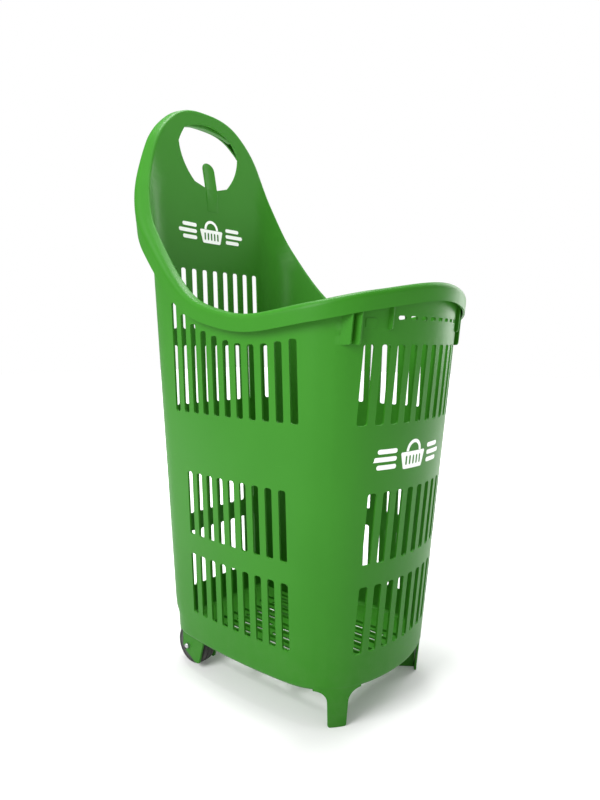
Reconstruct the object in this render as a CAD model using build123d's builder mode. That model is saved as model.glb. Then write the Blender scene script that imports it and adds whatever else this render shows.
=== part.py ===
# Rolling basket trolley: one tall moulded basket with an arched back that is also the handle,
# two feet in front and two wheels on a snapped-in steel axle behind.
# Millimetres. +Z up, +Y to the back, origin on the floor under the middle of the trolley.

import os
from math import atan2, cos, degrees, hypot, pi, radians, sin, sqrt

from build123d import *

os.makedirs("parts", exist_ok=True)

# Basket wall: plan sizes at floor level, and how much they grow per millimetre of height
half_width = 145.0
front_depth = 175.5
back_depth = 186.5
side_draft = 0.044
front_draft = 0.091
back_draft = 0.038
back_lean = 0.0001
lean_start = 620.0
side_radius = 970.0
front_radius = 237.0
back_radius = 1900.0
front_corner = 92.0
rear_corner = 53.0
wall = 3.0

# Heights
base_height = 53.5
arch_height = 920.0
floor_thickness = 3.5
base_bevel = 6.0
stock_top = arch_height + 15.0
trim_reach = 900.0
trim_inner = 40.0
trim_outer = 420.0
trim_steps = 30
cut_reach = 300.0

# Rim: how far its top edge lies from the front's height, then from the arch's, at angles
# measured round the basket from the front
rim_front = 603.0
rim_front_profile = [(0, 0), (30, -15), (50, -30), (75, -42), (95, -34), (112, -14), (125, 29)]
rim_arch_profile = [(137, -217), (146, -133), (153, -65), (161, -20), (169, -6), (180, 0)]
rim_profile = [(angle, rim_front + rise) for angle, rise in rim_front_profile]
rim_profile += [(angle, arch_height + rise) for angle, rise in rim_arch_profile]
rim_overhang = 13.0
rim_rear_corner = 76.0
rim_band = 24.0
rim_skin = 3.0
rim_root = 0.5
rim_reach = 50.0
rim_stock_bottom = rim_front - 113.0

# Slots in the walls: every row is (lower end, upper end) in height
slot_width = 12.0
slot_round = 3.5
side_pitch = 23.2
front_pitch = 22.4
back_pitch = 24.0
slot_shift = 6.0
wide_count = 11
row_count = 9
low_row = (104.0, 200.5)
mid_row = (230.5, 329.0)
high_row = (419.0, rim_front - 81.0)
back_high_row = (419.0, 518.0)
back_top_row = (546.0, 648.0)
slot_rim_gap = 16.0

# Hand opening in the arch, with its hanging hook
hand_top = arch_height - 22.0
hand_shoulder = arch_height - 44.0
hand_half_width = 68.0
hand_side_height = arch_height - 94.0
hand_side_half = 60.0
hand_bottom = arch_height - 136.0
hand_bottom_half = 22.0
hand_shoulder_round = 14.0
hand_bottom_round = 7.0
hook_width = 26.0
hook_top = arch_height - 84.0
hook_root = 30.0
hook_thickness = 4.0
hook_lean = 8.0

# Handle grip, pressed into the hollow of the rim above the hand opening
grip_half_width = 58.0
grip_clearance = 0.1
grip_proud = 2.0

# Stacking ribs, lifting-label slots and rest pads under the front rim
rib_thickness = 3.0
rib_depth = 10.0
rib_bottom = rim_front - 82.0
outer_rib_places = [half_width - 13.5, half_width - 4.5]
inner_rib_place = half_width - 55.0
inner_rib_depth = 6.0
inner_rib_bottom = rim_front - 63.0
vent_count = 8
vent_pitch = 20.0
vent_width = 12.0
vent_height = 5.0
vent_level = rim_front - 47.5
pad_width = 13.0
pad_height = 12.0
pad_place = half_width - 31.0
pad_level = rim_front - 55.0
pad_depth = 1.2

# Floor openings
floor_slot_width = 7.0
floor_slot_length = 62.0
floor_pitch_x = 22.0
floor_pitch_y = 80.0
floor_columns = 7
floor_rows = 3
floor_rib_height = 4.0
floor_rib_width = 2.5
floor_rib_length = front_depth + back_depth - 94.0

# Front feet
foot_angle = 36.0
foot_width = 26.0
foot_neck = 31.0
foot_top_width = 68.0
foot_shoulder = 54.0
foot_flare = 18.0
foot_wall = 4.0
foot_corner = 3.0
foot_inset = 0.5
foot_root = 5.0
foot_rib_toe = front_depth - 25.5
foot_rib_heel = front_depth - 47.5

# Wheels, axle and the legs that carry them
wheel_diameter = 66.0
wheel_width = 22.0
wheel_place_x = half_width - 34.5
wheel_place_y = back_depth - 48.0
tyre_thickness = 7.0
tyre_shoulder = 3.5
axle_diameter = 8.0
axle_overhang = 5.0
bearing_clearance = 0.05
seat_clearance = 0.05
axle_chamfer = 0.8
leg_thickness = 4.0
leg_gap = 3.0
leg_front = 38.0
leg_toe_front = 25.0
leg_toe_rear = 16.0
leg_rear = 13.0
leg_seat_below = 7.0
leg_tip_height = 9.0
leg_toe_round = 3.0
snap_grip = 0.6
snap_angle = -35.0
well_margin = 6.0
well_skin = 3.0
bush_outer = 14.0
hub_web = 5.0
hub_boss = 21.0
hub_rim = 4.0
spoke_count = 6
spoke_width = 3.0
retainer_diameter = 17.0
retainer_thickness = 1.0
retainer_gap = 0.3

axle_height = wheel_diameter / 2


# Shapes shared by several pieces
def width_at(z):
    return half_width + side_draft * z


def front_at(z):
    return front_depth + front_draft * z


def back_at(z):
    return back_depth + back_draft * z + back_lean * max(z - lean_start, 0) ** 2


def crossing(side_centre, side_r, end_centre, end_r, toward):
    """Where the left side arc meets the front arc (toward -1) or the back arc (toward 1)."""
    dx = end_centre[0] - side_centre[0]
    dy = end_centre[1] - side_centre[1]
    span = hypot(dx, dy)
    along = (side_r**2 - end_r**2 + span**2) / (2 * span)
    across = sqrt(side_r**2 - along**2)
    candidates = []
    for turn in (1, -1):
        x = side_centre[0] + (along * dx - turn * across * dy) / span
        y = side_centre[1] + (along * dy + turn * across * dx) / span
        candidates.append((x, y))
    return max(candidates, key=lambda point: toward * point[1])


def wall_plan(z, gap=0.0, rear_round=None):
    """Plan outline of the basket at height z, moved outwards by gap."""
    half = width_at(z) + gap
    front = front_at(z) + gap
    back = back_at(z) + gap
    side_centre = (side_radius - half, 0)
    front_centre = (0, front_radius - front)
    back_centre = (0, back - back_radius)
    front_left = crossing(side_centre, side_radius, front_centre, front_radius, -1)
    back_left = crossing(side_centre, side_radius, back_centre, back_radius, 1)
    front_right = (-front_left[0], front_left[1])
    back_right = (-back_left[0], back_left[1])
    rear = rear_corner + gap if rear_round is None else rear_round
    with BuildSketch(Plane.XY.offset(z)) as plan:
        with BuildLine():
            ThreePointArc(front_left, (0, -front), front_right)
            ThreePointArc(front_right, (half, 0), back_right)
            ThreePointArc(back_right, (0, back), back_left)
            ThreePointArc(back_left, (-half, 0), front_left)
        make_face()
        fillet(plan.vertices().group_by(Axis.Y)[0], front_corner + gap)
        fillet(plan.vertices().group_by(Axis.Y)[-1], rear)
    return plan.sketch


def rim_height(angle):
    """Height of the rim's top edge, a smooth curve through rim_profile."""
    last = len(rim_profile) - 1
    step = 0
    while step < last - 1 and angle > rim_profile[step + 1][0]:
        step += 1

    def slope(i):
        if i == 0 or i == last:
            return 0.0
        rise = rim_profile[i + 1][1] - rim_profile[i - 1][1]
        return rise / (rim_profile[i + 1][0] - rim_profile[i - 1][0])

    a0, z0 = rim_profile[step]
    a1, z1 = rim_profile[step + 1]
    span = a1 - a0
    t = (angle - a0) / span
    ease = t * t * (3 - 2 * t)
    pull0 = span * slope(step) * (t**3 - 2 * t**2 + t)
    pull1 = span * slope(step + 1) * (t**3 - t**2)
    return z0 + (z1 - z0) * ease + pull0 + pull1


def band_height(angle, drop):
    """Height of a line that runs the distance drop below the rim's top edge, square to it."""
    low = max(angle - 0.5, 0)
    high = min(angle + 0.5, 180)
    run = radians(high - low) * (width_at(rim_height(angle)) + rim_reach)
    rise = rim_height(high) - rim_height(low)
    return rim_height(angle) - drop * sqrt(1 + (rise / run) ** 2)


def rim_surface(drop):
    """Left half of the surface that runs inwards and outwards from the rim's edge."""
    inner = []
    outer = []
    shares = [step / trim_steps for step in range(trim_steps + 1)]
    for share in shares:
        turn = pi * share
        z = band_height(degrees(turn), drop)
        inner.append((-trim_inner * sin(turn), -trim_inner * cos(turn), z))
        outer.append((-trim_outer * sin(turn), -trim_outer * cos(turn), z))
    inner_edge = Edge.make_spline(inner, parameters=shares)
    outer_edge = Edge.make_spline(outer, parameters=shares)
    return Face.make_surface_from_curves(inner_edge, outer_edge)


def trim(drop, up):
    """Everything above (up = 1) or below (up = -1) the rim line that runs drop under the edge."""
    half = Solid.extrude(rim_surface(drop), Vector(0, 0, up * trim_reach))
    return [half, half.mirror(Plane.YZ)]


def on_left_and_right(solid):
    return [solid, solid.mirror(Plane.YZ)]


lower_middle = (base_height + lean_start) / 2
upper_middle = (lean_start + stock_top) / 2
levels = [base_height, lower_middle, lean_start, upper_middle, stock_top]
inner_levels = [base_height + floor_thickness] + levels[1:]
rim_levels = [rim_stock_bottom, lean_start, upper_middle, stock_top]
above_rim = trim(0, 1)
under_top_skin = trim(rim_skin, 1)
rib_ceiling = trim(rim_band / 2, 1)
under_band = trim(rim_band, -1)

# Rim, a channel open underneath
with BuildPart() as rim_hollow:
    loft(sections=[wall_plan(z, rim_overhang - rim_skin, rim_rear_corner - rim_skin)
                   for z in rim_levels])
    loft(sections=[wall_plan(z, rim_root) for z in rim_levels], mode=Mode.SUBTRACT)
    add(under_top_skin, mode=Mode.SUBTRACT)

with BuildPart() as rim:
    loft(sections=[wall_plan(z, rim_overhang, rim_rear_corner) for z in rim_levels])
    add(under_band, mode=Mode.SUBTRACT)

# Ribs and pads under the front rim
rib_kinds = [
    (rib_thickness, rib_depth, rib_bottom, lean_start, outer_rib_places),
    (rib_thickness, inner_rib_depth, inner_rib_bottom, lean_start, [inner_rib_place]),
    (pad_width, pad_depth, pad_level - pad_height / 2, pad_level + pad_height / 2, [pad_place]),
]
rib_levels = [rib_bottom - 1, lean_start]
front_ribs = []
for thickness, depth, low, high, places in rib_kinds:
    for place in places:
        with BuildPart() as rib:
            loft(sections=[wall_plan(z, depth) for z in rib_levels])
            with BuildSketch(Plane.YZ.offset(-place)):
                with Locations((-front_depth, (low + high) / 2)):
                    Rectangle(front_depth, high - low)
            extrude(amount=thickness / 2, both=True, mode=Mode.INTERSECT)
            loft(sections=[wall_plan(z, -wall / 2) for z in rib_levels], mode=Mode.SUBTRACT)
            add(rib_ceiling, mode=Mode.SUBTRACT)
        front_ribs += on_left_and_right(rib.part.solid())

# Front feet
foot_out = (-sin(radians(foot_angle)), -cos(radians(foot_angle)), 0)
foot_along = (cos(radians(foot_angle)), -sin(radians(foot_angle)), 0)
foot_plane = Plane(origin=(0, 0, 0), x_dir=foot_along, z_dir=foot_out)
foot_side_plane = Plane(origin=(0, 0, 0), x_dir=foot_out, z_dir=(-foot_along[0], -foot_along[1], 0))
foot_levels = [0, base_height + base_bevel + foot_root]
foot_side = [
    (foot_width / 2, 0),
    (foot_neck / 2, foot_shoulder),
    (foot_top_width / 2, foot_shoulder),
    (foot_top_width / 2, foot_levels[1]),
]
with BuildPart() as foot:
    loft(sections=[wall_plan(z, -foot_inset) for z in foot_levels])
    with BuildSketch(foot_plane) as foot_face:
        Polygon(*foot_side, *[(-x, z) for x, z in reversed(foot_side)], align=None)
        fillet(foot_face.vertices().group_by(Axis.Y)[0], foot_corner)
        neck_corners = foot_face.vertices().filter_by_position(
            Axis.Y, foot_shoulder - 1, foot_shoulder + 1)
        fillet(neck_corners.sort_by(Axis.X)[1:3], foot_flare)
    extrude(amount=cut_reach, mode=Mode.INTERSECT)
    loft(sections=[wall_plan(z, -foot_wall) for z in foot_levels], mode=Mode.SUBTRACT)

with BuildPart() as foot_rib:
    loft(sections=[wall_plan(z, -foot_wall / 2) for z in foot_levels[:1] + [base_height + 1]])
    with BuildSketch(foot_plane):
        with Locations((0, base_height / 2)):
            Rectangle(wall, base_height)
    extrude(amount=cut_reach, mode=Mode.INTERSECT)
    with BuildSketch(foot_side_plane):
        Polygon((0, -1), (foot_rib_toe, -1), (foot_rib_heel, base_height + 1),
                (0, base_height + 1), align=None)
    extrude(amount=wall * 2, both=True, mode=Mode.SUBTRACT)

# Wheel wells and legs
inner_leg = wheel_place_x - wheel_width / 2 - leg_gap - leg_thickness
outer_leg = wheel_place_x + wheel_width / 2 + leg_gap
leg_top = base_height + floor_thickness / 2
leg_outline = [
    (wheel_place_y - leg_front, leg_top),
    (wheel_place_y - leg_toe_front, leg_tip_height),
    (wheel_place_y - leg_toe_rear, leg_tip_height),
    (wheel_place_y + leg_rear, axle_height - leg_seat_below),
    (wheel_place_y + leg_rear, leg_top),
]
well_radius = wheel_diameter / 2 + well_margin
well_width = wheel_width + 2 * leg_gap

with BuildPart() as wheel_well:
    with BuildSketch(Plane.YZ.offset(wheel_place_x)):
        with Locations((wheel_place_y, axle_height)):
            Circle(well_radius + well_skin)
    extrude(amount=well_width / 2 + leg_thickness, both=True)
    split(bisect_by=Plane.XY.offset(base_height), keep=Keep.TOP)
    loft(sections=[wall_plan(z, -foot_inset) for z in (0, levels[1])], mode=Mode.INTERSECT)

with BuildPart() as wheel_legs:
    for x in (inner_leg, outer_leg):
        with BuildSketch(Plane.YZ.offset(x)) as leg_side:
            Polygon(*leg_outline, align=None)
            fillet(leg_side.vertices().group_by(Axis.Y)[0], leg_toe_round)
            fillet(leg_side.vertices().group_by(Axis.Y)[1], leg_toe_round)
            with Locations((wheel_place_y, axle_height)):
                Circle(axle_diameter / 2 + seat_clearance, mode=Mode.SUBTRACT)
                with Locations(Rotation(0, 0, snap_angle)):
                    Rectangle(leg_front, axle_diameter - snap_grip,
                              align=(Align.MIN, Align.CENTER), mode=Mode.SUBTRACT)
        extrude(amount=leg_thickness)

with BuildPart() as well_space:
    with BuildSketch(Plane.YZ.offset(wheel_place_x)):
        with Locations((wheel_place_y, axle_height)):
            Circle(well_radius)
    extrude(amount=well_width / 2, both=True)

# Hanging hook in the hand opening
hook_plane = Plane(origin=(0, back_at(hand_bottom) - wall, hand_bottom), x_dir=(1, 0, 0),
                   z_dir=(0, -1, 0)).rotated((hook_lean, 0, 0))
with BuildPart() as hook:
    with BuildSketch(hook_plane):
        with Locations((0, (hook_top - hand_bottom - hook_root) / 2)):
            SlotOverall(hook_top - hand_bottom + hook_root, hook_width, rotation=90)
    extrude(amount=-hook_thickness)

# Basket body
with BuildPart() as basket_space:
    loft(sections=[wall_plan(z, -wall) for z in inner_levels])
    chamfer(basket_space.faces().sort_by(Axis.Z)[0].edges(), base_bevel - wall / 2)

with BuildPart() as basket_body:
    loft(sections=[wall_plan(z) for z in levels])
    chamfer(basket_body.faces().sort_by(Axis.Z)[0].edges(), base_bevel)
    add(on_left_and_right(foot.part.solid()))
    add(rim.part)
    add(basket_space.part, mode=Mode.SUBTRACT)
    add(rim_hollow.part, mode=Mode.SUBTRACT)
    add(above_rim, mode=Mode.SUBTRACT)
    add(on_left_and_right(foot_rib.part.solid()))
    add(on_left_and_right(wheel_well.part.solid()))
    for leg in wheel_legs.part.solids():
        add(on_left_and_right(leg))
    add(on_left_and_right(well_space.part.solid()), mode=Mode.SUBTRACT)
    # Ribs on the floor, and the long openings between them
    with BuildSketch(Plane.XY.offset(base_height + floor_thickness / 2)):
        with GridLocations(floor_pitch_x, 0, floor_columns + 1, 1):
            Rectangle(floor_rib_width, floor_rib_length)
    extrude(amount=floor_thickness / 2 + floor_rib_height)
    with BuildSketch(Plane.XY.offset(base_height)):
        with GridLocations(floor_pitch_x, floor_pitch_y, floor_columns, floor_rows):
            SlotOverall(floor_slot_length, floor_slot_width, rotation=90)
    extrude(amount=floor_thickness, mode=Mode.SUBTRACT)
    add(front_ribs)
    # Slots in the side walls; the top row runs up to just under the rim
    with BuildSketch(Plane.YZ) as side_slots:
        for low, high in (low_row, mid_row):
            with Locations((slot_shift, (low + high) / 2)):
                with GridLocations(side_pitch, 0, row_count, 1):
                    RectangleRounded(slot_width, high - low, slot_round)
        for k in range(wide_count):
            y = slot_shift + (k - (wide_count - 1) / 2) * side_pitch
            angle = degrees(atan2(width_at(high_row[1]), -y))
            top = band_height(angle, rim_band) - slot_rim_gap
            with Locations((y, (high_row[0] + top) / 2)):
                RectangleRounded(slot_width, top - high_row[0], slot_round)
    extrude(amount=cut_reach, both=True, mode=Mode.SUBTRACT)
    # Slots in the front wall, with the row of small vents above them
    with BuildSketch(Plane.XZ) as front_slots:
        for (low, high), count in ((low_row, row_count), (mid_row, row_count), (high_row, wide_count)):
            with Locations((0, (low + high) / 2)):
                with GridLocations(front_pitch, 0, count, 1):
                    RectangleRounded(slot_width, high - low, slot_round)
        with Locations((0, vent_level)):
            with GridLocations(vent_pitch, 0, vent_count, 1):
                SlotOverall(vent_width, vent_height)
    extrude(amount=cut_reach, mode=Mode.SUBTRACT)
    # Slots in the back wall, then the hand opening through the arch
    with BuildSketch(Plane.XZ) as back_slots:
        for (low, high), count in ((low_row, row_count), (mid_row, row_count),
                                   (back_high_row, wide_count), (back_top_row, row_count)):
            with Locations((0, (low + high) / 2)):
                with GridLocations(back_pitch, 0, count, 1):
                    RectangleRounded(slot_width, high - low, slot_round)
    extrude(amount=-cut_reach, mode=Mode.SUBTRACT)
    with BuildSketch(Plane.XZ) as hand_opening:
        with BuildLine():
            shoulder = (hand_half_width, hand_shoulder)
            side_mid = (hand_side_half, hand_side_height)
            bottom = (hand_bottom_half, hand_bottom)
            ThreePointArc((-shoulder[0], shoulder[1]), (0, hand_top), shoulder)
            ThreePointArc(shoulder, side_mid, bottom)
            Line(bottom, (-bottom[0], bottom[1]))
            ThreePointArc((-bottom[0], bottom[1]), (-side_mid[0], side_mid[1]),
                          (-shoulder[0], shoulder[1]))
        make_face()
        fillet(hand_opening.vertices().group_by(Axis.Y)[0], hand_bottom_round)
        fillet(hand_opening.vertices().group_by(Axis.Y)[-1], hand_shoulder_round)
    extrude(amount=-cut_reach, mode=Mode.SUBTRACT)
    add(hook.part)
basket_body.part.label = "basket_body"
export_step(basket_body.part, "parts/basket_body.step")

# Handle grip
with BuildPart() as grip_channel:
    loft(sections=[wall_plan(z, rim_overhang - rim_skin - grip_clearance,
                             rim_rear_corner - rim_skin - grip_clearance) for z in rim_levels])
    loft(sections=[wall_plan(z, rim_root + grip_clearance) for z in rim_levels], mode=Mode.SUBTRACT)
    add(trim(rim_skin + grip_clearance, 1), mode=Mode.SUBTRACT)
with BuildPart() as handle_grip:
    add(grip_channel.part)
    add(trim(rim_band + grip_proud, -1), mode=Mode.SUBTRACT)
    with BuildSketch(Plane.XZ):
        with Locations((0, arch_height - 50)):
            Rectangle(2 * grip_half_width, 100)
    extrude(amount=-cut_reach, mode=Mode.INTERSECT)
handle_grip.part.label = "handle_grip"
export_step(handle_grip.part, "parts/handle_grip.step")

# Axle
axle_length = 2 * (outer_leg + leg_thickness + axle_overhang)
with BuildPart() as axle_rod:
    with BuildSketch(Plane.YZ.offset(-axle_length / 2)):
        with Locations((wheel_place_y, axle_height)):
            Circle(axle_diameter / 2)
    extrude(amount=axle_length)
    chamfer(axle_rod.edges().filter_by(GeomType.CIRCLE), axle_chamfer)
axle_rod.part.label = "axle_rod"
export_step(axle_rod.part, "parts/axle_rod.step")

# Wheels, one set a side
hub_radius = wheel_diameter / 2 - tyre_thickness
bush_bore = axle_diameter / 2 + bearing_clearance
for side, name in ((-1, "left"), (1, "right")):
    hub_plane = Plane(origin=(side * wheel_place_x, wheel_place_y, axle_height), z_dir=(side, 0, 0))

    with BuildPart() as wheel_hub:
        with BuildSketch(hub_plane):
            Circle(hub_radius)
            Circle(bush_outer / 2, mode=Mode.SUBTRACT)
        extrude(amount=wheel_width / 2, both=True)
        with BuildSketch(hub_plane.offset(hub_web / 2)) as recess:
            Circle(hub_radius - hub_rim)
            Circle(hub_boss / 2, mode=Mode.SUBTRACT)
            with PolarLocations(0, spoke_count):
                Rectangle(hub_radius, spoke_width, align=(Align.MIN, Align.CENTER),
                          mode=Mode.SUBTRACT)
        extrude(amount=wheel_width, mode=Mode.SUBTRACT)
        mirror(about=hub_plane, mode=Mode.INTERSECT)
    wheel_hub.part.label = "wheel_hub_" + name
    export_step(wheel_hub.part, "parts/wheel_hub_" + name + ".step")

    with BuildPart() as wheel_tyre:
        with BuildSketch(hub_plane):
            Circle(wheel_diameter / 2)
        extrude(amount=wheel_width / 2, both=True)
        fillet(wheel_tyre.edges().filter_by(GeomType.CIRCLE), tyre_shoulder)
        with BuildSketch(hub_plane):
            Circle(hub_radius)
        extrude(amount=wheel_width, both=True, mode=Mode.SUBTRACT)
    wheel_tyre.part.label = "wheel_tyre_" + name
    export_step(wheel_tyre.part, "parts/wheel_tyre_" + name + ".step")

    with BuildPart() as wheel_bush:
        with BuildSketch(hub_plane):
            Circle(bush_outer / 2)
            Circle(bush_bore, mode=Mode.SUBTRACT)
        extrude(amount=wheel_width / 2, both=True)
    wheel_bush.part.label = "wheel_bush_" + name
    export_step(wheel_bush.part, "parts/wheel_bush_" + name + ".step")

    # A push-on washer each side of the wheel keeps it in the middle between its legs
    for place, away in (("outer", 1), ("inner", -1)):
        washer_plane = hub_plane.offset(away * (wheel_width / 2 + retainer_gap + retainer_thickness / 2))
        with BuildPart() as axle_retainer:
            with BuildSketch(washer_plane):
                Circle(retainer_diameter / 2)
                Circle(axle_diameter / 2, mode=Mode.SUBTRACT)
            extrude(amount=retainer_thickness / 2, both=True)
        label = "axle_retainer_" + place + "_" + name
        axle_retainer.part.label = label
        export_step(axle_retainer.part, "parts/" + label + ".step")
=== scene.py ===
from math import atan2, ceil, cos, degrees, hypot, pi, radians, sin, sqrt

import bmesh
import bpy
from mathutils import Matrix, Vector
from mathutils.geometry import delaunay_2d_cdt


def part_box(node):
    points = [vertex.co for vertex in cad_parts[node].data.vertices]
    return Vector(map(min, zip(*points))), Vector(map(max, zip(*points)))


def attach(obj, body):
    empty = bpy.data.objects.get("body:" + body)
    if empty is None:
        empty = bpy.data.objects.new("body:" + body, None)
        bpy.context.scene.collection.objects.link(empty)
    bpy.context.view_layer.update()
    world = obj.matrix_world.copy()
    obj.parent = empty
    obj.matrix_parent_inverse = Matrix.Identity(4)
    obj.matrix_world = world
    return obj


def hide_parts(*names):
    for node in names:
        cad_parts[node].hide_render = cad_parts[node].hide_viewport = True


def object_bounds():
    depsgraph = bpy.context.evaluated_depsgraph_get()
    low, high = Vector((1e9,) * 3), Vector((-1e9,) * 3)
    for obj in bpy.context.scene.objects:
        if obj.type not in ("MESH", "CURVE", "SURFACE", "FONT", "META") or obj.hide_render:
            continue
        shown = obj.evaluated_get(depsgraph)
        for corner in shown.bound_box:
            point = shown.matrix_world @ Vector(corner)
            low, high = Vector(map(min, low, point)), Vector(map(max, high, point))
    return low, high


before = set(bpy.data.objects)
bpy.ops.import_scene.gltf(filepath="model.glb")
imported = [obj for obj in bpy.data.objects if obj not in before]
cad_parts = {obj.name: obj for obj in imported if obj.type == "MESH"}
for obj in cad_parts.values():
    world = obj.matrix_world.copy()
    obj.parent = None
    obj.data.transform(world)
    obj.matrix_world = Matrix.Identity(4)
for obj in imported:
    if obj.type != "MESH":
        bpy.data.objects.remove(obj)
cadLow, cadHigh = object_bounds()
mm = 0.001
axleLow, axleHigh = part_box("axle_rod")
tyreLow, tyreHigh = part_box("wheel_tyre_right")

# Shape of the moulded basket, in millimetres; angles run round it from the front, + to the left
wall = {
    "halfWidth": 145.0, "frontDepth": 175.5, "backDepth": 186.5,
    "sideDraft": 0.044, "frontDraft": 0.091, "backDraft": 0.038,
    "backLean": 0.0001, "leanStart": 620.0,
    "sideRadius": 970.0, "frontRadius": 237.0, "backRadius": 1900.0,
    "frontCorner": 92.0, "rearCorner": 53.0, "rimRearCorner": 48.0,
    "thickness": 3.0, "baseHeight": 53.5, "baseRound": 8.0, "floorTop": 57.0,
    "lowCorner": 12.0, "lowCornerTop": 98.0, "lowCornerBlend": 10.0,
    "seamAngle": 42.0, "archHeight": cadHigh.z / mm,
}
rim = {
    "front": 603.0, "overhang": 13.0, "band": 24.0, "innerRound": 3.5, "outerRound": 8.0,
    "wallMeets": 8.0, "step": 5.0, "archWiden": 5.4, "widenFrom": 600.0, "widenOver": 200.0,
    "frontProfile": [(0, 0), (30, -15), (50, -30), (75, -42), (95, -34), (112, -14), (125, 29)],
    "archProfile": [(137, -217), (146, -134), (153, -63), (161, -23), (169, -5), (180, 0)],
}
slots = {
    "width": 12.0, "round": 3.5, "sidePitch": 23.2, "frontPitch": 22.4, "backPitch": 24.0,
    "sideShift": 6.0, "wide": 11, "narrow": 9, "rimGap": 16.0,
    "low": (104.0, 200.5), "mid": (230.5, 329.0), "high": (419.0, 522.0),
    "backHigh": (419.0, 518.0), "backTop": (546.0, 648.0),
    "ventCount": 8, "ventPitch": 20.0, "ventWidth": 12.0, "ventHeight": 5.0, "ventLevel": 555.5,
    "ventRound": 2.2,
}
hand = {
    "top": -22.0, "shoulder": -44.0, "halfWidth": 68.0, "side": -94.0, "sideHalf": 60.0,
    "bottom": -136.0, "bottomHalf": 22.0,
    "softReach": 17.0, "softPasses": 14, "spacing": 5.0,
    "hookWidth": 26.0, "hookTop": -84.0, "hookRoot": 34.0, "hookThickness": 3.6, "hookLean": 8.0,
    "hookDish": 160.0, "hookBendFrom": -10.0, "hookBendOver": 14.0,
}
meshing = {"perDegree": 3.0, "gridX": 9.0, "gridZ": 11.0, "clear": 4.0, "baseSteps": 170}


# Plan outline of the basket at one height: arcs for the front, side and back, with rounded corners
def circlesMeet(first, firstRadius, second, secondRadius, toward):
    across = second - first
    span = across.length
    along = (firstRadius**2 - secondRadius**2 + span**2) / (2 * span)
    off = sqrt(firstRadius**2 - along**2)
    foot = first + across * (along / span)
    turned = Vector((-across.y, across.x)) * (off / span)
    return max((foot + turned, foot - turned), key=lambda p: toward * p.y)


planCache = {}


def planArcs(z, gap):
    key = (round(z, 3), round(gap, 3))
    if key in planCache:
        return planCache[key]
    half = wall["halfWidth"] + wall["sideDraft"] * z + gap
    front = wall["frontDepth"] + wall["frontDraft"] * z + gap
    lean = wall["backLean"] * max(z - wall["leanStart"], 0) ** 2
    back = wall["backDepth"] + wall["backDraft"] * z + lean + gap
    rear = wall["rearCorner"] + gap
    if gap > 0:
        rear = wall["rearCorner"] + gap * (wall["rimRearCorner"] - wall["rearCorner"]) / rim["overhang"]
    rise = min(max((wall["lowCornerTop"] - z) / wall["lowCornerBlend"], 0), 1)
    rear += wall["lowCorner"] * rise * rise * (3 - 2 * rise)
    corner = wall["frontCorner"] + gap
    sideR, frontR, backR = wall["sideRadius"], wall["frontRadius"], wall["backRadius"]
    side = Vector((sideR - half, 0))
    fore = Vector((0, frontR - front))
    aft = Vector((0, back - backR))
    foreCorner = circlesMeet(side, sideR - corner, fore, frontR - corner, -1)
    aftCorner = circlesMeet(side, sideR - rear, aft, backR - rear, 1)
    arcs = []
    ends = [
        (fore, frontR, fore + (foreCorner - fore).normalized() * frontR),
        (foreCorner, corner, side + (foreCorner - side).normalized() * sideR),
        (side, sideR, side + (aftCorner - side).normalized() * sideR),
        (aftCorner, rear, aft + (aftCorner - aft).normalized() * backR),
    ]
    for centre, radius, end in ends:
        arcs.append((degrees(atan2(-end.x, -end.y)), centre.x, centre.y, radius))
    arcs.append((181.0, aft.x, aft.y, backR))
    planCache[key] = arcs
    return arcs


def planPoint(angle, z, gap=0.0):
    turn = (angle + 180) % 360 - 180
    left = 1 if turn >= 0 else -1
    turn = abs(turn)
    dx, dy = -sin(radians(turn)), -cos(radians(turn))
    for end, cx, cy, radius in planArcs(z, gap):
        if turn <= end:
            break
    ahead = dx * cx + dy * cy
    reach = ahead + sqrt(max(ahead * ahead - cx * cx - cy * cy + radius * radius, 0))
    return Vector((dx * reach * left, dy * reach, z))


faces = {"front": (0, -75, 75), "left": (1, 20, 160), "back": (0, 110, 250), "right": (1, 340, 200)}


# Angle between two at which a value that rises or falls all the way reaches the wanted one
def angleWhere(value, low, high, wanted, halvings):
    rising = value(high) > value(low)
    for _ in range(halvings):
        middle = (low + high) / 2
        if (value(middle) < wanted) == rising:
            low = middle
        else:
            high = middle
    return (low + high) / 2


# Angle at which one face of the wall has the given x (front, back) or y (sides)
def wallAngle(face, across, z, gap):
    axis, low, high = faces[face]
    return angleWhere(lambda angle: planPoint(angle, z, gap)[axis], low, high, across, 26)


rimPoints = [(a, rim["front"] + h) for a, h in rim["frontProfile"]]
rimPoints += [(a, wall["archHeight"] + h) for a, h in rim["archProfile"]]


def rimHeight(angle):
    turn = abs((angle + 180) % 360 - 180)
    last = len(rimPoints) - 1
    step = 0
    while step < last - 1 and turn > rimPoints[step + 1][0]:
        step += 1

    def slope(i):
        if i in (0, last):
            return 0.0
        rise = rimPoints[i + 1][1] - rimPoints[i - 1][1]
        return rise / (rimPoints[i + 1][0] - rimPoints[i - 1][0])

    (a0, z0), (a1, z1) = rimPoints[step], rimPoints[step + 1]
    t = (turn - a0) / (a1 - a0)
    pull = slope(step) * (t**3 - 2 * t**2 + t) + slope(step + 1) * (t**3 - t**2)
    return z0 + (z1 - z0) * t * t * (3 - 2 * t) + (a1 - a0) * pull


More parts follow.
